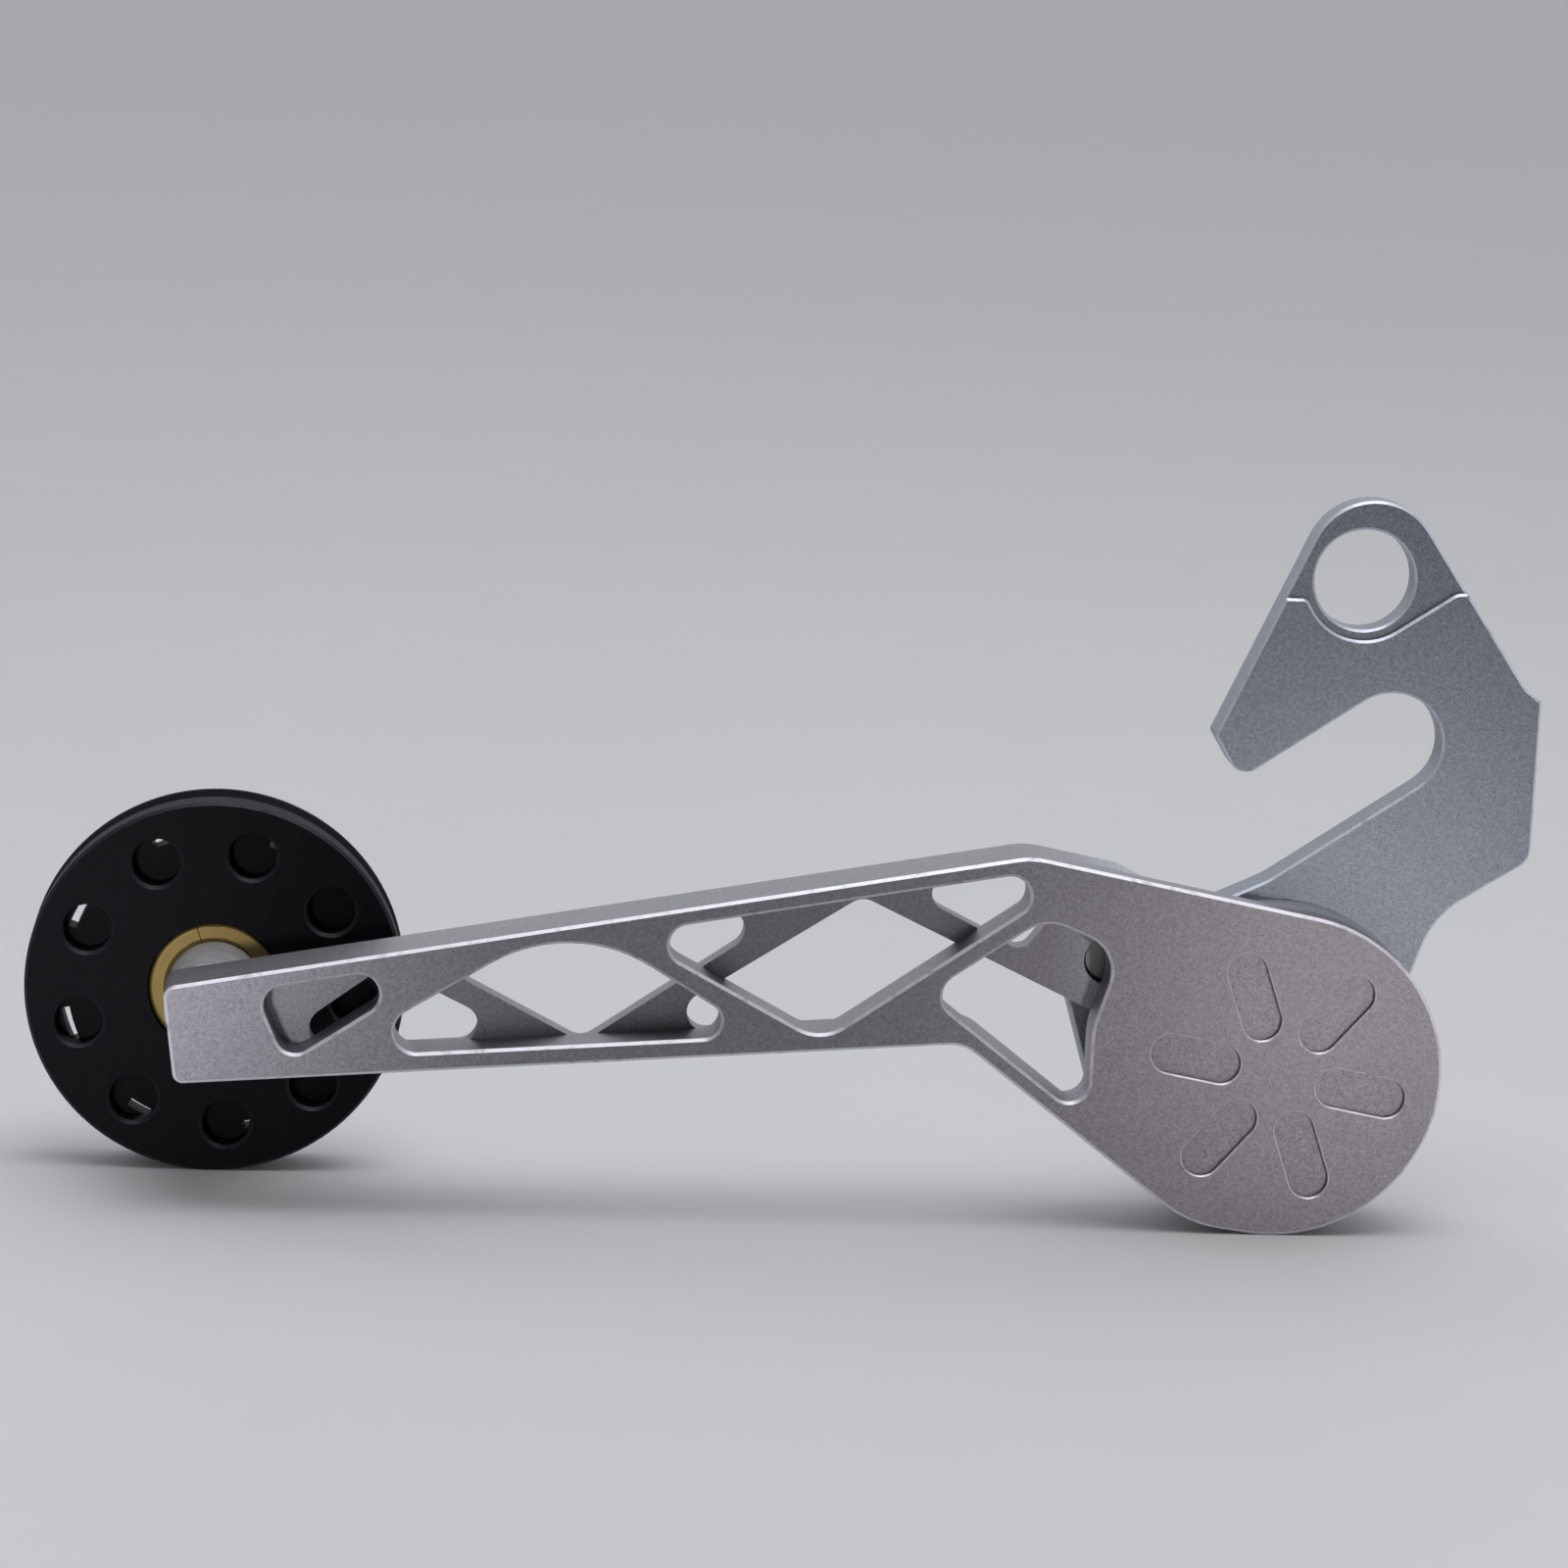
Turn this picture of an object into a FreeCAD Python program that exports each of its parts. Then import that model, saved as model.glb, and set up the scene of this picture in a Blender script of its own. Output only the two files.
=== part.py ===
"""Sprung chain tensioner for a bicycle: a truss arm with one pulley, hinged on a claw hanger.

X runs to the right along the arm, Y runs away from the arm's front face, Z runs up.
While it is drawn, the arm's pivot is on X = 0 and the arm's front face on Y = 0. The device
rests on its round end and on its pulley, on Z = 0. Outline points are (x, height above the
pivot), and corners add their rounding radius. Millimetres and degrees.
"""
import FreeCAD
import Part
import math
import os

# Outline and thickness of the arm
end_r = 16.5
arm_t = 7.2
broken_edge = 0.3
arm_tail = 4.6
arm_left_deg = -82.5
waist_x = -60.0
top_drop = 0.92
top_rise_deg = 10.2
bottom_h = 0.42
bottom_rise_deg = 4.25
shoulder_fall_deg = 10.8
belly_fall_deg = 37.5
belly_stand_off = 0.8
sole_deg = 262.0

# Truss: a front and a rear layer of pockets, chords along the edges, solid land round the end
front_layer = 4.4
chord = 1.65
front_base_chord = 1.92
rear_base_chord = 1.54
front_land = 2.45
front_land_h = 4.3
rear_land = 0.95
pocket_r = 2.0
base_corner_r = 1.8
tip_corner_r = 2.2
tight_r = 1.5

# Round end: its full outline is a thin cap, lower behind
cap_t = 2.4
behind_fall_deg = 27.0

# Pulley and the post it runs on
pulley_r = 19.1
pulley_x = -106.1
post_r = 4.7
post_end_y = 24.5
spigot_r = 3.0
blind_wall = 1.6
cover_y = 16.0
cover_t = 2.0
wheel_back_y = 23.4
track_width = 3.6
track_depth = 0.45
rim_in_r = 16.6
slot_rim = 0.8
web_front_y = 19.0
web_back_y = 21.8
hub_r = 11.6
hole_r = 2.42
hole_chamfer = 0.35
hole_ring_r = 14.15
hole_count = 9
hole_start_deg = 35.6
slot_width = 0.8
slot_deg = 13.4
slot_count = 8
slot_start_deg = 11.6

# Bronze bush of the pulley
bush_wall = 1.1
bush_flange_r = 6.65
bush_flange_y = 16.25
bush_back_y = 24.35
bush_lip_r = 0.5
bush_lead = 0.4
seam_width = 0.08
seam_deg = 107.0
clip_t = 0.6
clip_r = 7.2
clip_groove = 0.45
clip_mouth = 5.0
shim_t = 0.2

# Claw hanger
hanger_gap = 0.3
hanger_t = 4.2
hanger_edge = 0.25
hanger_right = 25.65
eye_x = 7.1
eye_h = 48.96
eye_bore_r = 5.05
eye_rim_r = 6.6
eye_step_r = 6.0
eye_back = 6.45
eye_cheek = 8.0
eye_recess = 0.8
slot_r = 5.2
slot_end_x = 10.69
slot_drop = 16.42
slot_slope_deg = 34.4
housing_r = 9.0
housing_back_y = 16.0

# Pivot of the arm
axle_r = 4.0
pivot_wall = 1.1
pivot_flange_r = 6.3
pivot_flange_t = 0.75
pivot_bush_len = 4.0
washer_t = 1.0
washer_r = 6.6

# Spring and its room in the arm
wire_r = 0.7
coil_r = 9.6
coil_pitch = 1.5
coil_half_turns = 4
spring_floor_y = 2.2
spring_side_room = 1.2
front_leg_depth = 1.2
back_leg_depth = 2.0

# Shallow recesses in the round end
recess_count = 6
recess_ring_r = 8.53
recess_len = 9.2
recess_width = 4.0
recess_depth = 0.7
recess_edge = 0.15
recess_start_deg = 49.3

# Stop pin
pin_r = 2.45
pin_reach = 3.5
pin_deg = 148.7
pin_sunk = 1.0
pin_short = 0.3
stop_gap = 0.1
lobe_reach = 4.8
lobe_foot_reach = 1.6

# Screws
screw_r = 2.5
head_r = 4.4
head_t = 2.2
key_flats = 3.0
key_depth = 1.3
thread_len = 9.0
screw_tip_room = 1.0
small_screw_r = 1.0
small_head_r = 1.9
small_head_t = 1.2
small_ring_r = 9.5
small_count = 4
small_start_deg = 45.0
small_grip = 1.2
small_slot = 0.5

# Clearances
running = 0.05
side_play = 0.05
loose = 0.2

pivot_z = end_r
hanger_y = arm_t + hanger_gap
hanger_back_y = hanger_y + hanger_t
pulley_z = pulley_r

os.makedirs("parts", exist_ok=True)


def point(x, h, y=0.0):
    return FreeCAD.Vector(x, y, pivot_z + h)


def polar(radius, deg):
    return radius * math.cos(math.radians(deg)), radius * math.sin(math.radians(deg))


def rounded_chain(corners, closed=True):
    """Edges through the corners, each corner rounded with its own radius."""
    edges = []
    first = None
    last = None
    count = len(corners)
    for i, (x, h, r) in enumerate(corners):
        here = point(x, h)
        if r == 0:
            start = here
            end = here
        else:
            before = corners[i - 1]
            after = corners[(i + 1) % count]
            back = (point(before[0], before[1]) - here).normalize()
            ahead = (point(after[0], after[1]) - here).normalize()
            half = back.getAngle(ahead) / 2
            middle = (back + ahead).normalize()
            start = here + back * (r / math.tan(half))
            end = here + ahead * (r / math.tan(half))
            near = here + middle * (r / math.sin(half) - r)
        if last is not None and start.distanceToPoint(last) > 1e-6:
            edges.append(Part.makeLine(last, start))
        if r != 0:
            edges.append(Part.Arc(start, near, end).toShape())
        if first is None:
            first = start
        last = end
    if closed and last.distanceToPoint(first) > 1e-6:
        edges.append(Part.makeLine(last, first))
    return edges


def wall(x, h, deg):
    """Straight line in the outline plane through x, h at an angle to the horizontal."""
    return x, h, math.radians(deg)


def offset(line, distance):
    """The same line moved sideways, to the left of its direction."""
    x, h, angle = line
    return x - distance * math.sin(angle), h + distance * math.cos(angle), angle


def cross(one, other):
    x1, h1, a1 = one
    x2, h2, a2 = other
    t = ((x2 - x1) * math.sin(a2) - (h2 - h1) * math.cos(a2)) / math.sin(a2 - a1)
    return x1 + t * math.cos(a1), h1 + t * math.sin(a1)


def walled(*walls):
    """Corners of a shape inside straight walls, each wall with the rounding to the next one."""
    corners = []
    for i, (line, radius) in enumerate(walls):
        after = walls[(i + 1) % len(walls)][0]
        corners.append((*cross(line, after), radius))
    return corners


def rib_side(low_share, high_share):
    """Side of a rib, from the bottom edge to the top edge at shares of the truss's length."""
    x1, h1 = cross(bottom_edge, wall(-end_r - low_share * truss_len, 0, 90))
    x2, h2 = cross(top_edge, wall(-end_r - high_share * truss_len, 0, 90))
    return wall(x1, h1, math.degrees(math.atan2(h2 - h1, x2 - x1)))


def raise_edges(edges, y0, y1):
    face = Part.Face(Part.Wire(Part.__sortEdges__(edges)))
    face.translate(FreeCAD.Vector(0, y0, 0))
    return face.extrude(FreeCAD.Vector(0, y1 - y0, 0))


def prism(y0, y1, *corners):
    return raise_edges(rounded_chain(corners), y0, y1)


def rod(radius, y0, y1, x=0.0, z=pivot_z):
    return Part.makeCylinder(radius, y1 - y0, FreeCAD.Vector(x, y0, z), FreeCAD.Vector(0, 1, 0))


def ring(outer, inner, y0, y1, x=0.0, z=pivot_z):
    return rod(outer, y0, y1, x, z).cut(rod(inner, y0, y1, x, z))


def turned(x, z, *profile, sweep=360):
    """Solid of revolution about the line along Y through x, z; profile of (radius, y)."""
    points = [FreeCAD.Vector(x + r, y, z) for r, y in profile]
    face = Part.Face(Part.makePolygon(points + points[:1]))
    return face.revolve(FreeCAD.Vector(x, 0, z), FreeCAD.Vector(0, -1, 0), sweep)


def around(shape, count, start_deg, x=0.0, z=pivot_z):
    """Copies of a shape made at three o'clock, turned to equal steps about the axis at x, z."""
    copies = []
    for k in range(count):
        one = shape.copy()
        one.rotate(FreeCAD.Vector(x, 0, z), FreeCAD.Vector(0, -1, 0), start_deg + 360 * k / count)
        copies.append(one)
    return Part.Compound(copies)


def flat_edges(shape, depth):
    """Edges that lie flat at a depth."""
    found = []
    for edge in shape.Edges:
        depths = [v.Point.y for v in edge.Vertexes] + [edge.CenterOfMass.y]
        if max(abs(y - depth) for y in depths) < 1e-4:
            found.append(edge)
    return found


def export(shape, name):
    """Write one sub-part, moved so that the origin is under the middle of the whole device."""
    solids = shape.Solids
    whole = solids[0] if len(solids) == 1 else Part.Compound(solids)
    left = pulley_x - pulley_r
    back = post_end_y + washer_t + head_t
    whole.translate(FreeCAD.Vector(-(left + hanger_right) / 2, -back / 2, 0))
    whole.exportStep("parts/" + name + ".step")


def socket_screw(x, z, seat_y, length):
    """Round-headed socket screw whose head stands behind seat_y."""
    body = turned(
        x, z,
        (0, seat_y - length),
        (screw_r - 0.4, seat_y - length),
        (screw_r, seat_y - length + 0.4),
        (screw_r, seat_y),
        (head_r, seat_y),
        (head_r, seat_y + 0.5 * head_t),
        (0.72 * head_r, seat_y + head_t),
        (0, seat_y + head_t),
    )
    key = Part.makePolygon([
        FreeCAD.Vector(x + key_flats / 2 / math.cos(math.pi / 6) * math.cos(math.radians(60 * k)),
                       seat_y + head_t - key_depth,
                       z + key_flats / 2 / math.cos(math.pi / 6) * math.sin(math.radians(60 * k)))
        for k in range(7)
    ])
    return body.cut(Part.Face(key).extrude(FreeCAD.Vector(0, key_depth, 0)))


# The arm: two crossed trusses, one milled from the front and one from the back
arm_left = pulley_x - arm_tail
shoulder_x, shoulder_h = polar(end_r, 90 - shoulder_fall_deg)
sole_x, sole_h = polar(end_r, sole_deg)
belly_foot_x, belly_foot_h = polar(end_r + belly_stand_off, 270 - belly_fall_deg)
shoulder_edge = wall(shoulder_x, shoulder_h, -shoulder_fall_deg)
top_edge = wall(waist_x, end_r - top_drop, top_rise_deg)
left_edge = wall(arm_left, 6.25, arm_left_deg)
bottom_edge = wall(waist_x, bottom_h, bottom_rise_deg)
belly_edge = wall(belly_foot_x, belly_foot_h, -belly_fall_deg)
sole_edge = wall(sole_x, sole_h, sole_deg - 270)
outline = rounded_chain([
    (shoulder_x, shoulder_h, 0),
    (*cross(shoulder_edge, top_edge), 8.0),
    (*cross(top_edge, left_edge), 1.3),
    (*cross(left_edge, bottom_edge), 1.0),
    (*cross(bottom_edge, belly_edge), 4.0),
    (*cross(belly_edge, sole_edge), 12.0),
    (sole_x, sole_h, 0),
], closed=False)
outline.append(Part.Arc(point(sole_x, sole_h), point(end_r, 0), point(shoulder_x, shoulder_h)).toShape())
arm = raise_edges(outline, 0, arm_t)

truss_len = -arm_left - end_r
roof = offset(top_edge, -chord)
falling_roof = offset(shoulder_edge, -chord)
front_base = offset(bottom_edge, front_base_chord)
rear_base = offset(bottom_edge, rear_base_chord)
belly = offset(belly_edge, chord)
front_end = wall(-end_r - front_land, 0, 90)
rear_end = wall(-end_r - rear_land, 0, 90)
front_pockets = [
    walled((roof, pocket_r), (rib_side(0.8987, 0.6642), pocket_r), (rib_side(0.8644, 0.9117), pocket_r)),
    walled((front_base, base_corner_r), (rib_side(0.3455, 0.5673), 15.0),
           (rib_side(0.8664, 0.5978), tip_corner_r)),
    walled((roof, pocket_r), (rib_side(0.3305, -0.0055), 4.3), (rib_side(0.2934, 0.5421), pocket_r)),
    walled((rib_side(0.2947, -0.0555), 4.1), (rib_side(-0.1879, 0.1971), 3.9),
           (wall(-end_r - front_land, front_land_h, 72.9), 8.0), (front_end, pocket_r),
           (belly, tip_corner_r)),
]
rear_pockets = [
    walled((rear_base, pocket_r), (rib_side(0.5827, 0.8061), pocket_r),
           (rib_side(0.9282, 0.7288), tip_corner_r)),
    walled((roof, pocket_r), (rib_side(0.5785, 0.2870), pocket_r), (rib_side(0.5424, 0.7614), pocket_r)),
    walled((rib_side(0.5394, 0.2158), pocket_r), (rib_side(-0.0124, 0.3109), pocket_r),
           (rear_end, pocket_r), (belly, 4.0), (rear_base, pocket_r)),
    walled((roof, 6.0), (falling_roof, tight_r), (rib_side(0.1670, -0.0004), tight_r),
           (rib_side(-0.0518, 0.2643), base_corner_r)),
]
arm = arm.cut([prism(0, front_layer, *pocket) for pocket in front_pockets])
arm = arm.cut([prism(front_layer, arm_t, *pocket) for pocket in rear_pockets])

behind_fall = wall(*cross(shoulder_edge, wall(-end_r, 0, 90)), -behind_fall_deg)
behind_cap = prism(cap_t, arm_t, *walled(
    (behind_fall, 0), (wall(shoulder_x, 0, 90), 0), (wall(0, 1.5 * end_r, 0), 0), (wall(-end_r, 0, 90), 0)))
arm = arm.cut(behind_cap.cut(rod(end_r, cap_t, arm_t)))
arm = arm.makeChamfer(broken_edge, flat_edges(arm, 0) + flat_edges(arm, arm_t))

recess_half = recess_len / 2
recess_round = recess_width / 2
recess = prism(0, recess_depth,
               (recess_ring_r - recess_half, -recess_round, recess_round),
               (recess_ring_r + recess_half, -recess_round, recess_round),
               (recess_ring_r + recess_half, recess_round, recess_round),
               (recess_ring_r - recess_half, recess_round, recess_round))
arm = arm.cut(around(recess, recess_count, recess_start_deg))
recess_reach = recess_ring_r + recess_half
recess_rims = [edge for edge in flat_edges(arm, 0)
               if max(v.Point.distanceToPoint(point(0, 0)) for v in edge.Vertexes) < recess_reach]
arm = arm.makeChamfer(recess_edge, recess_rims)

coil_room_out = coil_r + wire_r + spring_side_room
coil_room_in = coil_r - wire_r - spring_side_room
arm_hub_y = hanger_y - pivot_flange_t - side_play
front_leg_deg = recess_start_deg + 180 / recess_count
back_leg_deg = front_leg_deg + 180 * coil_half_turns
front_leg = polar(coil_r, front_leg_deg)
back_leg = polar(coil_r, back_leg_deg)
front_leg_y = spring_floor_y - front_leg_depth
pin_x, pin_h = polar(end_r + pin_reach, pin_deg)
arm = arm.cut([
    ring(coil_room_out, coil_room_in, spring_floor_y, arm_t),
    rod(coil_room_in, arm_hub_y, arm_t),
    rod(axle_r, blind_wall, arm_t),
    rod(wire_r, front_leg_y, spring_floor_y, front_leg[0], pivot_z + front_leg[1]),
    rod(pin_r, front_layer, arm_t, pin_x, pivot_z + pin_h),
    rod(spigot_r, blind_wall, arm_t, pulley_x, pulley_z),
])
export(arm, "tension_arm")

# Stop pin, pressed through the arm's rear layer
pin_y = front_layer + pin_sunk
pin_back = hanger_back_y - pin_short
pin = turned(pin_x, pivot_z + pin_h,
             (0, pin_y), (pin_r - broken_edge, pin_y), (pin_r, pin_y + broken_edge),
             (pin_r, pin_back - broken_edge), (pin_r - broken_edge, pin_back), (0, pin_back))
export(pin, "stop_pin")

# Axle, pressed into the arm
axle_back = housing_back_y + pivot_flange_t + side_play
axle = turned(0, pivot_z,
              (0, blind_wall), (axle_r - broken_edge, blind_wall), (axle_r, blind_wall + broken_edge),
              (axle_r, axle_back - broken_edge), (axle_r - broken_edge, axle_back), (0, axle_back))
axle = axle.cut(rod(screw_r, axle_back - thread_len, axle_back))
export(axle, "pivot_axle")

# Two flanged plain bushes in the hanger
bush_bore = axle_r + running
bush_out = bush_bore + pivot_wall
front_flange_y = hanger_y - pivot_flange_t
rear_flange_y = housing_back_y + pivot_flange_t
front_bush = turned(0, pivot_z,
                    (bush_bore, front_flange_y), (pivot_flange_r, front_flange_y),
                    (pivot_flange_r, hanger_y), (bush_out, hanger_y),
                    (bush_out, hanger_y + pivot_bush_len), (bush_bore, hanger_y + pivot_bush_len))
export(front_bush, "pivot_bush_front")
rear_bush = turned(0, pivot_z,
                   (bush_bore, rear_flange_y), (pivot_flange_r, rear_flange_y),
                   (pivot_flange_r, housing_back_y), (bush_out, housing_back_y),
                   (bush_out, housing_back_y - pivot_bush_len), (bush_bore, housing_back_y - pivot_bush_len))
export(rear_bush, "pivot_bush_rear")

washer_back = axle_back + washer_t
washer = turned(0, pivot_z,
                (screw_r + loose, axle_back), (washer_r, axle_back),
                (washer_r, washer_back - broken_edge), (washer_r - broken_edge, washer_back),
                (screw_r + loose, washer_back))
export(washer, "pivot_washer")
export(socket_screw(0, pivot_z, washer_back, thread_len - screw_tip_room), "pivot_screw")

# The hanger: one plate with an eye, an open axle slot, a stop lobe and the pivot housing behind
slot_end_h = eye_h - slot_drop
slot_cos, slot_sin = polar(1, slot_slope_deg)
slot_low = wall(slot_end_x + slot_r * slot_sin, slot_end_h - slot_r * slot_cos, slot_slope_deg)
slot_high = wall(slot_end_x - slot_r * slot_sin, slot_end_h + slot_r * slot_cos, slot_slope_deg)
slot_cap = wall(slot_end_x + slot_r * slot_cos, slot_end_h + slot_r * slot_sin, slot_slope_deg + 90)
pin_side = offset(wall(pin_x, pin_h, pin_deg), pin_r + stop_gap)
lobe_side = wall(*polar(end_r + lobe_reach, 164.8), 106.6)
lobe_foot = polar(end_r + lobe_foot_reach, 194.0)


def hanger_blank(front_y):
    """The hanger's whole outline from a depth to its back, all edges sharp."""
    plate = prism(front_y, hanger_back_y, *walled(
        (offset(wall(eye_x, eye_h, 66.0), eye_back), eye_rim_r),
        (offset(wall(eye_x, eye_h, -55.6), eye_cheek), 0.6),
        (wall(eye_x + 17.35, eye_h - 10.82, -37.0), 0.6),
        (wall(hanger_right, 0, 90.0), 2.2),
        (wall(25.07, 20.59, 32.5), 9.0),
        (wall(14.36, 9.08, 72.0), 0),
        (wall(0, 4.0, 0), 0),
        (wall(-10.06, 11.79, 80.0), 3.0),
        (wall(slot_end_x - 15.45, slot_end_h - 16.05, 25.0), 8.0),
        (slot_low, slot_r),
        (slot_cap, slot_r),
        (slot_high, 1.9),
        (wall(eye_x - 14.21, eye_h - 15.99, -58.6), 0.6),
    ))
    lobe = prism(front_y, hanger_back_y,
                 (*cross(pin_side, lobe_side), 1.2), (*lobe_foot, 3.0), (-12.5, -9.5, 0),
                 (-4.0, 0, 0), (*cross(pin_side, wall(-12.6, 0, 90)), 0))
    return plate.fuse([rod(end_r, front_y, hanger_back_y), lobe]).removeSplitter()


eye_side = prism(hanger_y, hanger_back_y, *walled(
    (wall(0, eye_h - 1.95, 0), 1.0),
    (offset(wall(eye_x, eye_h, -62.0), -eye_step_r), eye_step_r),
    (offset(wall(eye_x, eye_h, 33.8), -eye_step_r), 1.5),
    (wall(0, eye_h - 1.0, 0), 0),
    (wall(eye_x + 20, 0, 90), 0),
    (wall(0, eye_h + 20, 0), 0),
    (wall(eye_x - 20, 0, 90), 0),
))
eye_front_y = hanger_y + eye_recess
thick = hanger_blank(hanger_y).cut(eye_side)
thin = hanger_blank(eye_front_y)
thick = thick.makeChamfer(hanger_edge, flat_edges(thick, hanger_y) + flat_edges(thick, hanger_back_y))
thin = thin.makeChamfer(hanger_edge, flat_edges(thin, eye_front_y) + flat_edges(thin, hanger_back_y))
plate = thick.fuse(thin).removeSplitter()
eye_z = pivot_z + eye_h
eye = turned(eye_x, eye_z,
             (0, eye_front_y), (eye_bore_r + hanger_edge, eye_front_y),
             (eye_bore_r, eye_front_y + hanger_edge), (eye_bore_r, hanger_back_y - hanger_edge),
             (eye_bore_r + hanger_edge, hanger_back_y), (0, hanger_back_y))
plate = plate.cut(eye)
housing = turned(0, pivot_z,
                 (0, hanger_back_y - 0.5), (housing_r, hanger_back_y - 0.5),
                 (housing_r, housing_back_y - 0.5), (housing_r - 0.5, housing_back_y), (0, housing_back_y))
plate = plate.fuse(housing)
plate = plate.cut([
    rod(bush_out, hanger_y, hanger_y + pivot_bush_len),
    rod(bush_out, housing_back_y - pivot_bush_len, housing_back_y),
    rod(bush_bore + loose, hanger_y, housing_back_y),
    rod(wire_r, hanger_y, hanger_y + back_leg_depth, back_leg[0], pivot_z + back_leg[1]),
])
export(plate, "hanger_plate")

# Torsion spring: half turns of wire about the axle, each tilted so that it climbs half a pitch,
# with one leg in the arm and one in the hanger
coil_y = spring_floor_y + wire_r + side_play
coil_back_y = coil_y + coil_half_turns * coil_pitch / 2
pieces = [
    Part.makeSphere(wire_r, FreeCAD.Vector(front_leg[0], coil_y, pivot_z + front_leg[1])),
    Part.makeSphere(wire_r, FreeCAD.Vector(back_leg[0], coil_back_y, pivot_z + back_leg[1])),
    rod(wire_r, front_leg_y, coil_y, front_leg[0], pivot_z + front_leg[1]),
    rod(wire_r, coil_back_y, hanger_y + back_leg_depth, back_leg[0], pivot_z + back_leg[1]),
]
for k in range(coil_half_turns):
    turn_deg = front_leg_deg + 180 * k
    x, z = polar(coil_r, turn_deg)
    ahead_x, ahead_z = polar(1, turn_deg + 90)
    start = FreeCAD.Vector(x, coil_y + k * coil_pitch / 2, pivot_z + z)
    middle = FreeCAD.Vector(0, coil_y + (k + 0.5) * coil_pitch / 2, pivot_z)
    ahead = FreeCAD.Vector(ahead_x, 0, ahead_z)
    disc = Part.Face(Part.Wire(Part.makeCircle(wire_r, start, ahead)))
    pieces.append(disc.revolve(middle, (start - middle).cross(ahead), 180))
spring = pieces[0].fuse(pieces[1:])
export(spring, "torsion_spring")

# Post of the pulley, pressed into the arm
post = turned(pulley_x, pulley_z,
              (0, blind_wall), (spigot_r - broken_edge, blind_wall), (spigot_r, blind_wall + broken_edge),
              (spigot_r, arm_t), (post_r, arm_t),
              (post_r, post_end_y - broken_edge), (post_r - broken_edge, post_end_y), (0, post_end_y))
post = post.cut(rod(screw_r, post_end_y - thread_len, post_end_y, pulley_x, pulley_z))
export(post, "pulley_post")

# Split bronze bush: slides along the post and carries the wheel
sleeve_bore = post_r + running
sleeve_r = sleeve_bore + bush_wall
flange_back_y = cover_y + cover_t - side_play
shim_y = wheel_back_y + side_play
clip_y = shim_y + shim_t
clip_back_y = clip_y + clip_t
bush = turned(pulley_x, pulley_z,
              (sleeve_bore + bush_lead, bush_flange_y), (bush_flange_r, bush_flange_y),
              (bush_flange_r, flange_back_y),
              (sleeve_r, flange_back_y), (sleeve_r, clip_y), (sleeve_r - clip_groove, clip_y),
              (sleeve_r - clip_groove, clip_back_y), (sleeve_r, clip_back_y), (sleeve_r, bush_back_y),
              (sleeve_bore, bush_back_y), (sleeve_bore, bush_flange_y + bush_lead))
lip = max(flat_edges(bush, bush_flange_y), key=lambda edge: edge.Length)
bush = bush.makeFillet(bush_lip_r, [lip])
seam = Part.makeBox(bush_flange_r + 1, bush_back_y - bush_flange_y + 2, seam_width,
                    FreeCAD.Vector(pulley_x, bush_flange_y - 1, pulley_z - seam_width / 2))
bush = bush.cut(around(seam, 1, seam_deg, pulley_x, pulley_z))
export(bush, "pulley_bush")
export(ring(clip_r, sleeve_r + running, shim_y, clip_y, pulley_x, pulley_z), "bush_shim")
clip = ring(clip_r, sleeve_r - clip_groove, clip_y, clip_back_y, pulley_x, pulley_z)
mouth = Part.makeBox(clip_r + 1, clip_t + 2, clip_mouth,
                     FreeCAD.Vector(pulley_x, clip_y - 1, pulley_z - clip_mouth / 2))
export(clip.cut(around(mouth, 1, seam_deg, pulley_x, pulley_z)), "bush_clip")

# Wheel: rim with a slightly hollow track, web with arc slots, hub
cover_back_y = cover_y + cover_t
track_y = (cover_back_y + wheel_back_y) / 2
wheel = turned(pulley_x, pulley_z,
               (sleeve_r + running, cover_back_y), (hub_r, cover_back_y), (hub_r, web_front_y),
               (rim_in_r, web_front_y), (rim_in_r, cover_back_y), (pulley_r, cover_back_y),
               (pulley_r, track_y - track_width / 2), (pulley_r - track_depth, track_y - track_width / 4),
               (pulley_r - track_depth, track_y + track_width / 4), (pulley_r, track_y + track_width / 2),
               (pulley_r, wheel_back_y - broken_edge), (pulley_r - broken_edge, wheel_back_y),
               (rim_in_r, wheel_back_y), (rim_in_r, web_back_y), (hub_r + 0.4, web_back_y),
               (hub_r, wheel_back_y), (sleeve_r + running, wheel_back_y))
slot_in_r = rim_in_r - slot_rim - slot_width
arc_slot = turned(pulley_x, pulley_z,
                  (slot_in_r, web_front_y), (slot_in_r + slot_width, web_front_y),
                  (slot_in_r + slot_width, web_back_y), (slot_in_r, web_back_y), sweep=slot_deg)
wheel = wheel.cut(around(arc_slot, slot_count, slot_start_deg, pulley_x, pulley_z))
screw_x = pulley_x + small_ring_r
small_tip_y = cover_back_y - small_grip
bores = rod(small_screw_r, small_tip_y, wheel_back_y, screw_x, pulley_z).fuse(
    rod(small_head_r + running, wheel_back_y - small_head_t, wheel_back_y, screw_x, pulley_z))
bores = around(bores, small_count, small_start_deg, pulley_x, pulley_z)
export(wheel.cut(bores), "pulley_wheel")

# Front cover of the pulley with nine lightening holes
cover = turned(pulley_x, pulley_z,
               (bush_flange_r + loose / 2, cover_y), (pulley_r - broken_edge, cover_y),
               (pulley_r, cover_y + broken_edge), (pulley_r, cover_back_y),
               (bush_flange_r + loose / 2, cover_back_y))
hole = turned(pulley_x + hole_ring_r, pulley_z,
              (0, cover_y), (hole_r + hole_chamfer, cover_y), (hole_r, cover_y + hole_chamfer),
              (hole_r, cover_back_y), (0, cover_back_y))
cover = cover.cut([around(hole, hole_count, hole_start_deg, pulley_x, pulley_z), bores])
export(cover, "pulley_cover")

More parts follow.
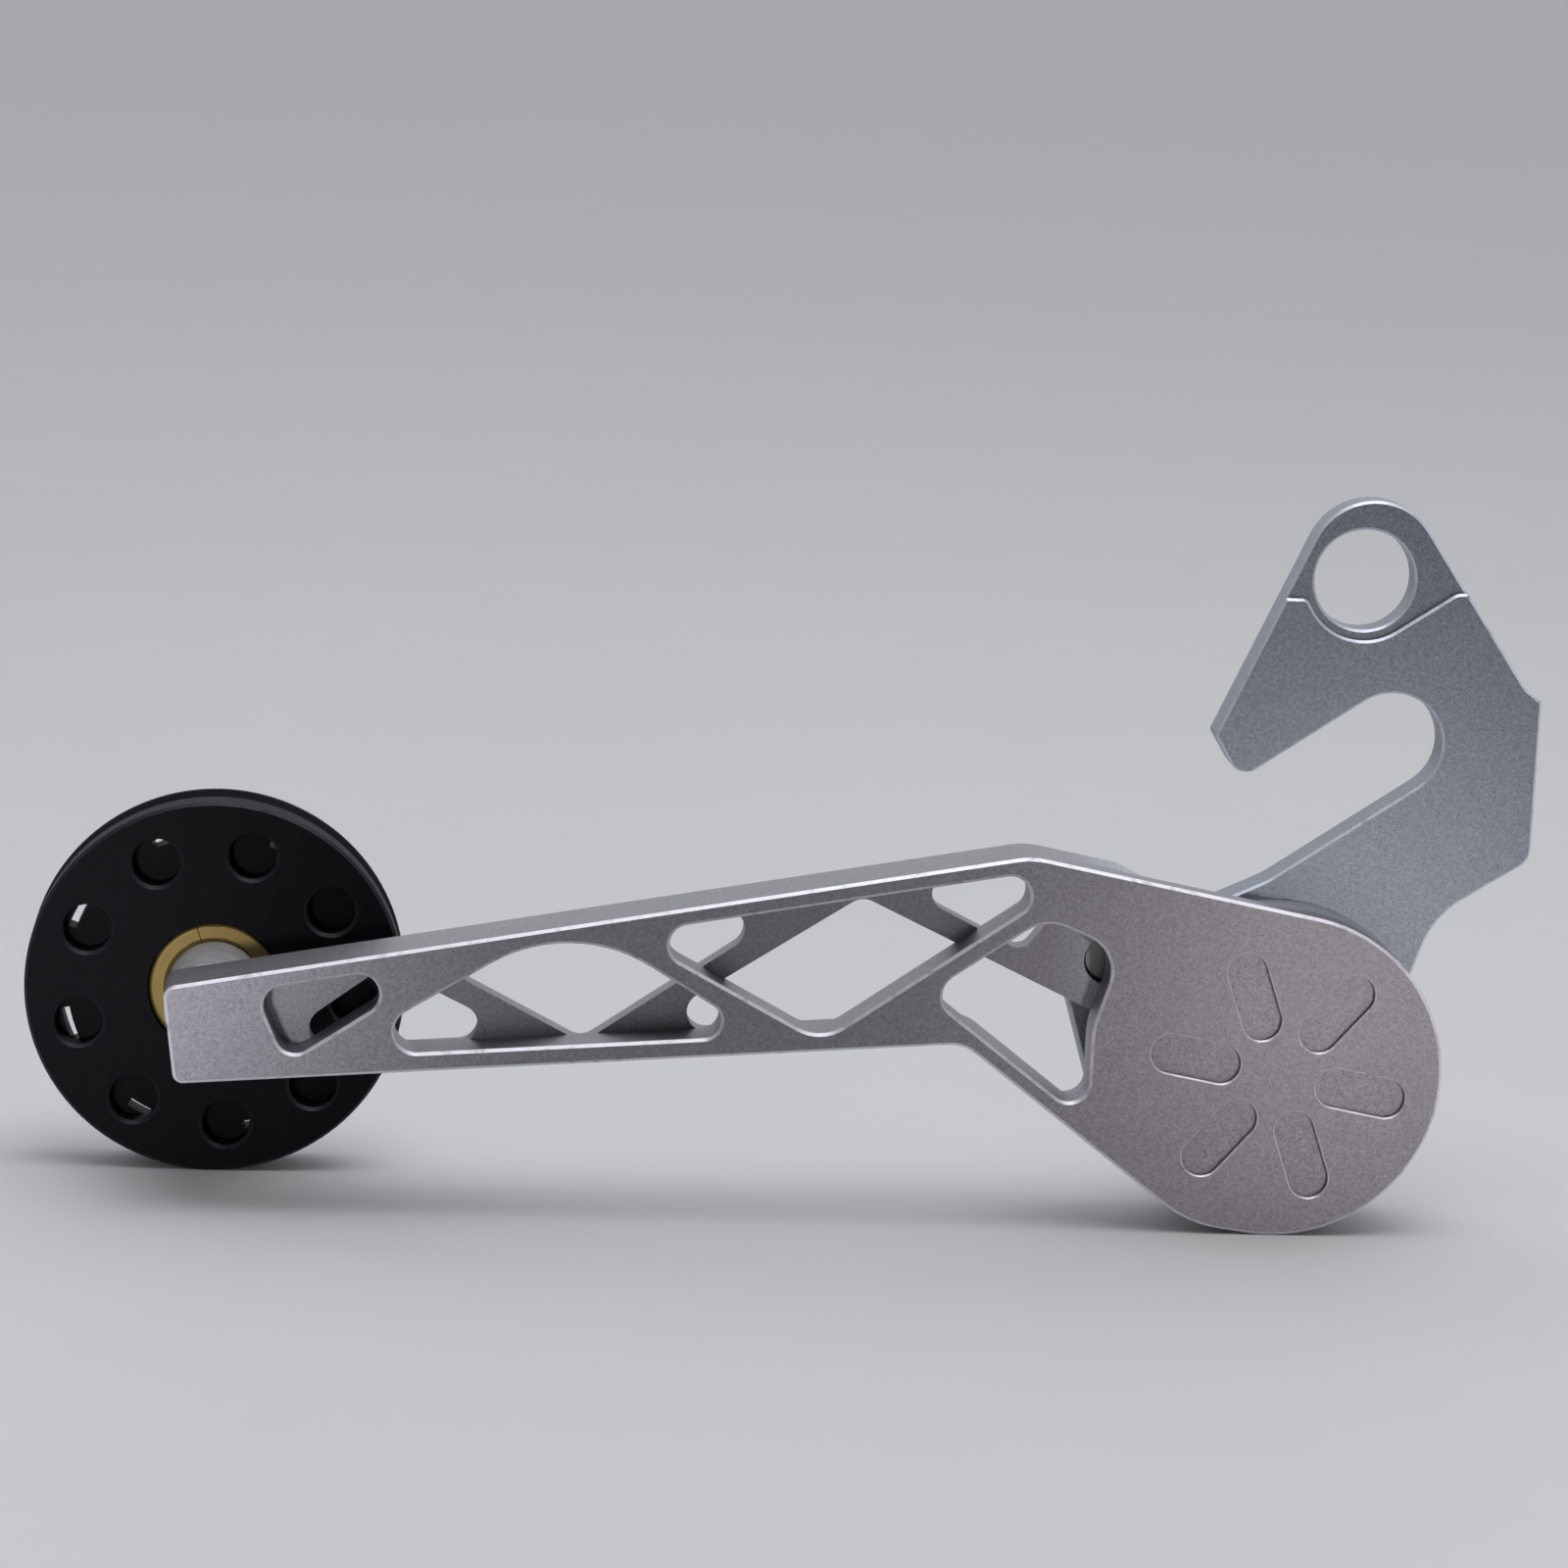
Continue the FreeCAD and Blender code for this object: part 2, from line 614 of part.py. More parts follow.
small_screw = rod(small_screw_r, small_tip_y, wheel_back_y, screw_x, pulley_z).fuse(
    rod(small_head_r, wheel_back_y - small_head_t, wheel_back_y, screw_x, pulley_z))
driver = Part.makeBox(2 * small_head_r + 1, small_slot, small_slot, FreeCAD.Vector(
    screw_x - small_head_r - 0.5, wheel_back_y - small_slot, pulley_z - small_slot / 2))
small_screw = small_screw.cut(driver)
export(around(small_screw, small_count, small_start_deg, pulley_x, pulley_z), "cover_screw")

# End washer and screw that keep the pulley on its post
end_washer_back = post_end_y + washer_t
end_washer = turned(pulley_x, pulley_z,
                    (screw_r + loose, post_end_y), (bush_flange_r, post_end_y),
                    (bush_flange_r, end_washer_back - broken_edge),
                    (bush_flange_r - broken_edge, end_washer_back), (screw_r + loose, end_washer_back))
export(end_washer, "post_washer")
export(socket_screw(pulley_x, pulley_z, end_washer_back, thread_len - screw_tip_room), "post_screw")
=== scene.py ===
import math

import bpy
from bpy.props import FloatProperty, FloatVectorProperty, PointerProperty
from bpy.types import Operator, Panel, PropertyGroup
from mathutils import Matrix, Vector


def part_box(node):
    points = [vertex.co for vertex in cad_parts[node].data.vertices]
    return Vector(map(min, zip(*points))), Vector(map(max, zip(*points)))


bl_info = {
    "name": "Chain Tensioner",
    "version": (1, 0),
    "blender": (4, 5, 0),
    "location": "View3D > Sidebar > Tensioner",
    "description": "Finishes, light and camera for a sprung bicycle chain tensioner",
    "category": "Object",
}

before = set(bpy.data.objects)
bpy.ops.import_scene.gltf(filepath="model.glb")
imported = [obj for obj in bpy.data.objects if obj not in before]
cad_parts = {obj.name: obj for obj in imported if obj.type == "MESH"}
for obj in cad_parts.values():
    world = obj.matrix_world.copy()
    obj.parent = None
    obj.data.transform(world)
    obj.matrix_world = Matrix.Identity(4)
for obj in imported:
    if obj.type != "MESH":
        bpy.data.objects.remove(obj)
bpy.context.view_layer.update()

# Where the camera stands and how it is turned, worked out from the photograph's perspective.
CAMERA_PLACE = (-0.041244, -0.498239, 0.143433)
CAMERA_RIGHT = (0.99634, -0.07442, 0.04206)
CAMERA_UP = (-0.02630, 0.20136, 0.97917)

# Soft boxes: name, tint, width and height, spread in degrees, place, target.
LAMPS = (
    ("top_lamp", (0.94, 0.97, 1.0), (0.6, 0.45), 180,
     (0.08, -0.12, 0.75), (0.0, 0.0, 0.03)),
    ("left_lamp", (0.90, 0.91, 1.0), (0.04, 0.04), 15,
     (-0.12, -0.32, 0.035), (-0.076, -0.014, 0.022)),
    ("right_lamp", (1.0, 0.97, 0.97), (0.035, 0.035), 15,
     (0.13, -0.32, 0.035), (0.056, -0.007, 0.019)),
)

# The room is brightest behind and above the device.
ROOM_BRIGHT_SIDE = (0.15, 0.85, 0.50)

# Sockets of the mix node that belong to colours: the factor, the two inputs and the result.
MIX_INPUTS, MIX_RESULT = (0, 6, 7), 2

WHITE = (1.0, 1.0, 1.0, 1.0)


def colour(name, description, default):
    """A colour without alpha."""
    return FloatVectorProperty(name=name, description=description, default=default,
                               subtype="COLOR", size=3, min=0.0, max=1.0)


def share(name, description, default):
    """A number between 0 and 1."""
    return FloatProperty(name=name, description=description, default=default,
                         min=0.0, max=1.0, subtype="FACTOR")


def amount(name, description, default, unit="NONE"):
    """A number from 0 up, with its unit."""
    return FloatProperty(name=name, description=description, default=default,
                         min=0.0, unit=unit, precision=5)


class FinishSettings(PropertyGroup):
    """Colours of the metals and how coarse their blasting is."""
    arm_colour: colour("Arm", "Blasted and anodised arm", (0.266, 0.250, 0.267))
    hanger_colour: colour("Hanger", "Blasted and anodised hanger", (0.270, 0.284, 0.319))
    pulley_colour: colour("Pulley", "Black anodised pulley", (0.006, 0.006, 0.0072))
    bronze_colour: colour("Bronze", "Sintered bronze bushes", (0.25, 0.18, 0.065))
    bare_colour: colour("Bare aluminium", "Turned pulley post", (0.52, 0.52, 0.53))
    pin_colour: colour("Stop pin", "Phosphated stop pin", (0.25, 0.265, 0.25))
    steel_colour: colour("Steel", "Axle and washers", (0.56, 0.56, 0.57))
    dark_steel_colour: colour("Dark steel", "Screws", (0.06, 0.06, 0.065))
    spring_colour: colour("Spring steel", "Spring, shim and clip", (0.42, 0.42, 0.43))
    blast_grain: amount("Blasting grain", "Size of one dimple of the blasting", 0.00011, "LENGTH")
    # How far broken edges take their lighter colour: partly bare wear, partly a painted highlight.
    edge_wear_and_highlight: share("Edge brightness", "How bare the broken edges are", 0.95)


class StageSettings(PropertyGroup):
    """Floor, room, lamps and lens."""
    floor_size: amount("Floor size", "Side of the square floor", 8.0, "LENGTH")
    floor_colour: colour("Floor", "Pale floor", (0.67, 0.655, 0.645))
    room_colour: colour("Room", "Soft light from all round", (0.90, 0.94, 1.0))
    wall_colour: colour("Wall", "Wall seen behind the floor", (0.42, 0.42, 0.45))
    room_front: amount("Room in front", "Light of the room on the camera's side", 0.12)
    room_back: amount("Room behind", "Light of the room behind the device", 0.92)
    top_lamp_power: amount("Top lamp", "Soft box over the device", 2.2, "POWER")
    left_lamp_power: amount("Left lamp", "Low soft box in front of the pulley", 0.0046, "POWER")
    right_lamp_power: amount("Right lamp", "Low soft box in front of the hanger", 0.0019, "POWER")
    lens: FloatProperty(name="Lens", description="Focal length on a 36 mm sensor",
                        default=116.46, min=1.0, subtype="DISTANCE_CAMERA")


def settings():
    """The finish settings of the scene."""
    return bpy.context.scene.tensioner_finish


def shade(base, factor):
    """The colour made lighter or darker, with alpha."""
    return (*(min(1.0, c * factor) for c in base), 1.0)


def feed(tree, value, socket):
    """Link an output to an input, or set the input to a value."""
    if isinstance(value, bpy.types.NodeSocket):
        tree.links.new(value, socket)
    else:
        socket.default_value = value


def math_node(tree, operation, *values):
    """Result of a math node whose inputs are outputs or numbers."""
    node = tree.nodes.new("ShaderNodeMath")
    node.operation = operation
    for value, socket in zip(values, node.inputs):
        feed(tree, value, socket)
    return node.outputs["Value"]


def ramp_between(tree, value, low, high):
    """0 below low, 1 above high, smooth between."""
    node = tree.nodes.new("ShaderNodeMapRange")
    node.interpolation_type = "SMOOTHSTEP"
    tree.links.new(value, node.inputs["Value"])
    node.inputs["From Min"].default_value = low
    node.inputs["From Max"].default_value = high
    return node.outputs["Result"]


def swinging(tree, tone, middle, swing):
    """A value that swings about its middle with the tone."""
    return math_node(tree, "MULTIPLY_ADD", tone, swing, middle - swing / 2)


def split(tree, vector):
    """A vector's X, Y and Z."""
    node = tree.nodes.new("ShaderNodeSeparateXYZ")
    tree.links.new(vector, node.inputs["Vector"])
    return node.outputs


def noise(tree, vector, scale, detail, roughness):
    """Fractal noise between 0 and 1."""
    node = tree.nodes.new("ShaderNodeTexNoise")
    tree.links.new(vector, node.inputs["Vector"])
    feed(tree, scale, node.inputs["Scale"])
    node.inputs["Detail"].default_value = detail
    node.inputs["Roughness"].default_value = roughness
    return node.outputs["Fac"]


def mix_colours(tree, factor, first, second, blend="MIX"):
    """A mix of two colours, each an output or a value."""
    node = tree.nodes.new("ShaderNodeMix")
    node.data_type = "RGBA"
    node.blend_type = blend
    for place, value in zip(MIX_INPUTS, (factor, first, second)):
        feed(tree, value, node.inputs[place])
    return node.outputs[MIX_RESULT]


def overlay(tree, under, mask, most, over):
    """One colour laid over another where the mask is, and at most by that share."""
    return mix_colours(tree, math_node(tree, "MULTIPLY", mask, most), under, over)


def shader_group(name, inputs, outputs):
    """A new shader node group with its own sockets, and its ends."""
    tree = bpy.data.node_groups.new(name, "ShaderNodeTree")
    for label, kind, default in inputs:
        socket = tree.interface.new_socket(label, in_out="INPUT", socket_type=kind)
        socket.default_value = default
    for label, kind in outputs:
        tree.interface.new_socket(label, in_out="OUTPUT", socket_type=kind)
    return tree, tree.nodes.new("NodeGroupInput"), tree.nodes.new("NodeGroupOutput")


def blasted_grain_group():
    """Fine dimples of bead blasting with soft stains under them."""
    coarse_rate, coarse_share, stain_rate = 0.28, 0.25, 0.02
    tree, given, made = shader_group(
        "blasted_grain",
        [("Vector", "NodeSocketVector", (0, 0, 0)), ("Grain", "NodeSocketFloat", 6000.0)],
        [("Tone", "NodeSocketFloat"), ("Height", "NodeSocketFloat"), ("Stain", "NodeSocketFloat")])
    place, grain = given.outputs["Vector"], given.outputs["Grain"]
    fine = noise(tree, place, grain, detail=3.0, roughness=0.65)
    coarse = noise(tree, place, math_node(tree, "MULTIPLY", grain, coarse_rate),
                   detail=2.0, roughness=0.5)
    stain = noise(tree, place, math_node(tree, "MULTIPLY", grain, stain_rate),
                  detail=4.0, roughness=0.6)
    tone = math_node(tree, "MULTIPLY_ADD", coarse, coarse_share,
                     math_node(tree, "MULTIPLY", fine, 1.0 - coarse_share))
    tree.links.new(ramp_between(tree, tone, low=0.33, high=0.67), made.inputs["Tone"])
    tree.links.new(math_node(tree, "ADD", fine, coarse), made.inputs["Height"])
    tree.links.new(ramp_between(tree, stain, low=0.3, high=0.7), made.inputs["Stain"])
    return tree


def broken_edge_group():
    """Mask of the chamfers: faces that lean halfway between the flat faces and the walls."""
    halfway, chip_rate = 0.707, 900.0
    tree, given, made = shader_group(
        "broken_edge",
        [("Vector", "NodeSocketVector", (0, 0, 0))],
        [("Edge", "NodeSocketFloat")])
    geometry = tree.nodes.new("ShaderNodeNewGeometry")
    turn = tree.nodes.new("ShaderNodeVectorTransform")
    turn.vector_type = "NORMAL"
    turn.convert_from = "WORLD"
    turn.convert_to = "OBJECT"
    tree.links.new(geometry.outputs["Normal"], turn.inputs["Vector"])
    lean = math_node(tree, "ABSOLUTE", split(tree, turn.outputs["Vector"])["Y"])
    off = math_node(tree, "ABSOLUTE", math_node(tree, "SUBTRACT", lean, halfway))
    edge = math_node(tree, "SUBTRACT", 1.0, ramp_between(tree, off, low=0.08, high=0.22))
    wear = noise(tree, given.outputs["Vector"], chip_rate, detail=3.0, roughness=0.6)
    chips = ramp_between(tree, wear, low=0.1, high=0.5)
    tree.links.new(math_node(tree, "MULTIPLY", edge, chips), made.inputs["Edge"])
    return tree


def lathe_marks_group():
    """Fine rings left by turning about an axis along Y."""
    tree, given, made = shader_group(
        "lathe_marks",
        [("Vector", "NodeSocketVector", (0, 0, 0)), ("Axis", "NodeSocketVector", (0, 0, 0)),
         ("Pitch", "NodeSocketFloat", 0.0001)],
        [("Tone", "NodeSocketFloat"), ("Height", "NodeSocketFloat")])
    away = tree.nodes.new("ShaderNodeVectorMath")
    away.operation = "SUBTRACT"
    tree.links.new(given.outputs["Vector"], away.inputs[0])
    tree.links.new(given.outputs["Axis"], away.inputs[1])
    parts = split(tree, away.outputs["Vector"])
    across = math_node(tree, "SQRT", math_node(
        tree, "ADD", math_node(tree, "POWER", parts["X"], 2.0),
        math_node(tree, "POWER", parts["Z"], 2.0)))
    steps = math_node(tree, "DIVIDE", math_node(tree, "ADD", across, parts["Y"]),
                      given.outputs["Pitch"])
    ring = tree.nodes.new("ShaderNodeTexNoise")
    ring.noise_dimensions = "1D"
    ring.inputs["Scale"].default_value = 1.0
    ring.inputs["Detail"].default_value = 3.0
    tree.links.new(steps, ring.inputs["W"])
    tree.links.new(ring.outputs["Fac"], made.inputs["Height"])
    tree.links.new(ramp_between(tree, ring.outputs["Fac"], low=0.3, high=0.7), made.inputs["Tone"])
    return tree


def place_group(tree, name, maker, **values):
    """Put a node group into a material; the maker builds it when it is first asked for."""
    node = tree.nodes.new("ShaderNodeGroup")
    node.node_tree = bpy.data.node_groups.get(name) or maker()
    for label, value in values.items():
        feed(tree, value, node.inputs[label])
    return node.outputs


def grain_at(tree, place, rate=1.0):
    """Tone, height and stain of the blasting, with dimples finer by the rate."""
    return place_group(tree, "blasted_grain", blasted_grain_group,
                       Vector=place, Grain=rate / settings().blast_grain)


def edge_at(tree, place):
    """1 on a broken edge, 0 elsewhere."""
    return place_group(tree, "broken_edge", broken_edge_group, Vector=place)["Edge"]


def new_finish(name, base, roughness, metallic):
    """A material with its shader ready, and the place on the surface."""
    finish = bpy.data.materials.new(name)
    finish.use_nodes = True
    tree = finish.node_tree
    shader = tree.nodes["Principled BSDF"]
    shader.inputs["Base Color"].default_value = (*base, 1.0)
    shader.inputs["Roughness"].default_value = roughness
    shader.inputs["Metallic"].default_value = metallic
    place = tree.nodes.new("ShaderNodeTexCoord").outputs["Object"]
    return finish, tree, shader, place


def bump(tree, shader, height, strength, distance):
    """Let the height bend the shader's normal."""
    node = tree.nodes.new("ShaderNodeBump")
    node.inputs["Strength"].default_value = strength
    node.inputs["Distance"].default_value = distance
    tree.links.new(height, node.inputs["Height"])
    tree.links.new(node.outputs["Normal"], shader.inputs["Normal"])


def hanger_tint_and_painted_highlight(tree, place, plain, start, front, back, tint):
    """The plain colour, tinted past start along X where Y is between front and back; the tint given
    is a painted highlight in the hanger's colour.
    """
    fade = 0.010
    parts = split(tree, place)
    sunk = math_node(tree, "MULTIPLY", math_node(tree, "GREATER_THAN", parts["Y"], front),
                     math_node(tree, "LESS_THAN", parts["Y"], back))
    past = ramp_between(tree, parts["X"], low=start, high=start + fade)
    return mix_colours(tree, math_node(tree, "MULTIPLY", sunk, past), plain, tint)


def blasted_anodised(name, base, wear_and_highlight_gain, behind=None):
    """Bead-blasted, anodised aluminium whose broken edges are lighter, partly bare wear and partly
    a painted highlight.

    behind holds the start, the front and back depths and the tint that paint the arm's rear in the
    hanger's colour, lightened as a painted highlight.
    """
    roughness, dimple_roughness, edge_polish = 0.44, 0.10, 0.10
    metallic, edge_metallic = 0.68, 0.40
    dimple_gain, dimple_shade = 1.46, (0.40, 0.40, 0.40, 1.0)
    stain_share, stain_gain = 0.12, 0.80
    finish, tree, shader, place = new_finish(name, base, roughness, metallic)
    grain, edge = grain_at(tree, place), edge_at(tree, place)
    plain = shade(base, dimple_gain)
    if behind:
        plain = hanger_tint_and_painted_highlight(tree, place, plain, *behind)
    dimples = mix_colours(tree, grain["Tone"], dimple_shade, WHITE)
    speckled = mix_colours(tree, 1.0, plain, dimples, "MULTIPLY")
    stained = overlay(tree, speckled, grain["Stain"], stain_share, shade(base, stain_gain))
    # Broken edges take a much lighter colour: partly bare wear, partly a painted highlight on the
    # chamfers.
    worn_and_highlit = overlay(tree, stained, edge, settings().edge_wear_and_highlight, shade(base, wear_and_highlight_gain))
    tree.links.new(worn_and_highlit, shader.inputs["Base Color"])
    bare = math_node(tree, "MULTIPLY_ADD", edge, edge_metallic - metallic, metallic)
    tree.links.new(bare, shader.inputs["Metallic"])
    rough = swinging(tree, grain["Tone"], roughness, dimple_roughness)
    polish = math_node(tree, "MULTIPLY", edge, edge_polish)
    tree.links.new(math_node(tree, "SUBTRACT", rough, polish), shader.inputs["Roughness"])
    bump(tree, shader, grain["Height"], strength=0.22, distance=0.00006)
    return finish


def black_anodised(name, base):
    """Satin black of the pulley, a little grey on its edges."""
    grain_rate, dimple_dark, dimple_light = 0.8, 0.7, 1.4
    edge_colour, edge_share = (0.045, 0.045, 0.050, 1.0), 0.8
    finish, tree, shader, place = new_finish(name, base, roughness=0.5, metallic=0.0)
    shader.inputs["Specular IOR Level"].default_value = 0.04
    grain = grain_at(tree, place, grain_rate)
    edge = math_node(tree, "MULTIPLY", edge_at(tree, place), edge_share)
    speckled = mix_colours(tree, grain["Tone"], shade(base, dimple_dark),
                           shade(base, dimple_light))
    tree.links.new(mix_colours(tree, edge, speckled, edge_colour), shader.inputs["Base Color"])
    tree.links.new(edge, shader.inputs["Metallic"])
    rough = swinging(tree, grain["Tone"], middle=0.48, swing=0.08)
    tree.links.new(rough, shader.inputs["Roughness"])
    bump(tree, shader, grain["Height"], strength=0.10, distance=0.00004)
    return finish


def turned_metal(name, base, roughness, about, metallic=1.0, stain_share=0.4, stain_rate=0.5):
    """Metal with a lathe's fine rings about a node's axis, stains, and lighter broken edges that
    are partly bare wear and partly a painted highlight.
    """
    ring_pitch, ring_depth, ring_tone, ring_roughness = 0.00012, 0.00001, 0.12, 0.12
    stain_gain, wear_and_highlight_gain = 0.7, 1.7
    finish, tree, shader, place = new_finish(name, base, roughness, metallic)
    marks = place_group(tree, "lathe_marks", lathe_marks_group,
                        Vector=place, Axis=centre_of(about), Pitch=ring_pitch)
    grain, edge = grain_at(tree, place, stain_rate), edge_at(tree, place)
    ringed = mix_colours(tree, marks["Tone"], shade(base, 1.0 - ring_tone),
                         shade(base, 1.0 + ring_tone))
    stained = overlay(tree, ringed, grain["Stain"], stain_share, shade(base, stain_gain))
    # Broken edges take a lighter colour: partly bare wear, partly a painted highlight on the
    # chamfers.
    worn_and_highlit = overlay(tree, stained, edge, settings().edge_wear_and_highlight, shade(base, wear_and_highlight_gain))
    tree.links.new(worn_and_highlit, shader.inputs["Base Color"])
    rough = swinging(tree, marks["Tone"], roughness, ring_roughness)
    tree.links.new(rough, shader.inputs["Roughness"])
    bump(tree, shader, marks["Height"], strength=0.25, distance=ring_depth)
    return finish


def centre_of(node):
    """Middle of a frame node's box, which lies on the axis it was turned about."""
    low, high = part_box(node)
    return (low + high) / 2


def dress(finish, *nodes):
    """Give the named frame nodes one finish."""
    for name in nodes:
        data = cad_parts[name].data
        data.materials.clear()
        data.materials.append(finish)


class TENSIONER_OT_arm(Operator):
    """Finish the truss arm; the form behind its round end takes the hanger's colour, lightened as a
    painted highlight.
    """
    bl_idname = "tensioner.arm"
    bl_label = "Tension arm"

    def execute(self, context):
        round_end, cap, skin, painted_light_gain = 0.040, 0.0028, 0.0001, 2.3
        low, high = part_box("tension_arm")
        # The rear of the round end, past the cap, is painted in the hanger's colour made much
        # lighter: a painted highlight on that form.
        behind = (high.x - round_end, low.y + cap, high.y - skin,
                  shade(settings().hanger_colour, painted_light_gain))
        dress(blasted_anodised("arm_anodised", settings().arm_colour, wear_and_highlight_gain=3.1, behind=behind),
              "tension_arm")
        return {"FINISHED"}


class TENSIONER_OT_hanger(Operator):
    """Finish the claw hanger."""
    bl_idname = "tensioner.hanger"
    bl_label = "Hanger"

    def execute(self, context):
        dress(blasted_anodised("hanger_anodised", settings().hanger_colour, wear_and_highlight_gain=2.7),
              "hanger_plate")
        return {"FINISHED"}


class TENSIONER_OT_pulley(Operator):
    """Finish the pulley's wheel and cover."""
    bl_idname = "tensioner.pulley"
    bl_label = "Pulley"

    def execute(self, context):
        dress(black_anodised("black_anodised", settings().pulley_colour),
              "pulley_wheel", "pulley_cover")
        return {"FINISHED"}


class TENSIONER_OT_bushes(Operator):
    """Finish the bronze bushes of the pulley and the pivot."""
    bl_idname = "tensioner.bushes"
    bl_label = "Bushes"

    def execute(self, context):
        bronze, roughness = settings().bronze_colour, 0.54
        dress(turned_metal("bronze_pulley", bronze, roughness, about="pulley_post"), "pulley_bush")
        dress(turned_metal("bronze_pivot", bronze, roughness, about="pivot_axle"),
              "pivot_bush_front", "pivot_bush_rear")
        return {"FINISHED"}


class TENSIONER_OT_post(Operator):
    """Finish the bare post of the pulley."""
    bl_idname = "tensioner.post"
    bl_label = "Pulley post"

    def execute(self, context):
        dress(turned_metal("bare_aluminium", settings().bare_colour, roughness=0.5,
                           about="pulley_post", metallic=0.4, stain_share=0.9, stain_rate=3.0),
              "pulley_post")
        return {"FINISHED"}


class TENSIONER_OT_steel(Operator):
    """Finish the axle, the stop pin, the washers, the spring, the shim and the clip."""
    bl_idname = "tensioner.steel"
    bl_label = "Steel parts"

    def execute(self, context):
        steel, steel_roughness = settings().steel_colour, 0.32
        spring, spring_roughness = settings().spring_colour, 0.36
        dress(turned_metal("steel_pivot", steel, steel_roughness, about="pivot_axle"),
              "pivot_axle", "pivot_washer")
        dress(turned_metal("phosphated_pin", settings().pin_colour, roughness=0.45,
                           about="stop_pin"), "stop_pin")
        dress(turned_metal("steel_post", steel, steel_roughness, about="pulley_post"),
              "post_washer")
        dress(turned_metal("spring_steel", spring, spring_roughness, about="pivot_axle"),
              "torsion_spring")
        dress(turned_metal("clip_steel", spring, spring_roughness, about="pulley_post"),
              "bush_shim", "bush_clip")
        return {"FINISHED"}


class TENSIONER_OT_screws(Operator):
    """Finish the screws."""
    bl_idname = "tensioner.screws"
    bl_label = "Screws"

    def execute(self, context):
        dark, roughness = settings().dark_steel_colour, 0.38
        dress(turned_metal("dark_steel_pivot", dark, roughness, about="pivot_screw"),
              "pivot_screw")
        dress(turned_metal("dark_steel_post", dark, roughness, about="post_screw"),
              "post_screw", "cover_screw")
        return {"FINISHED"}


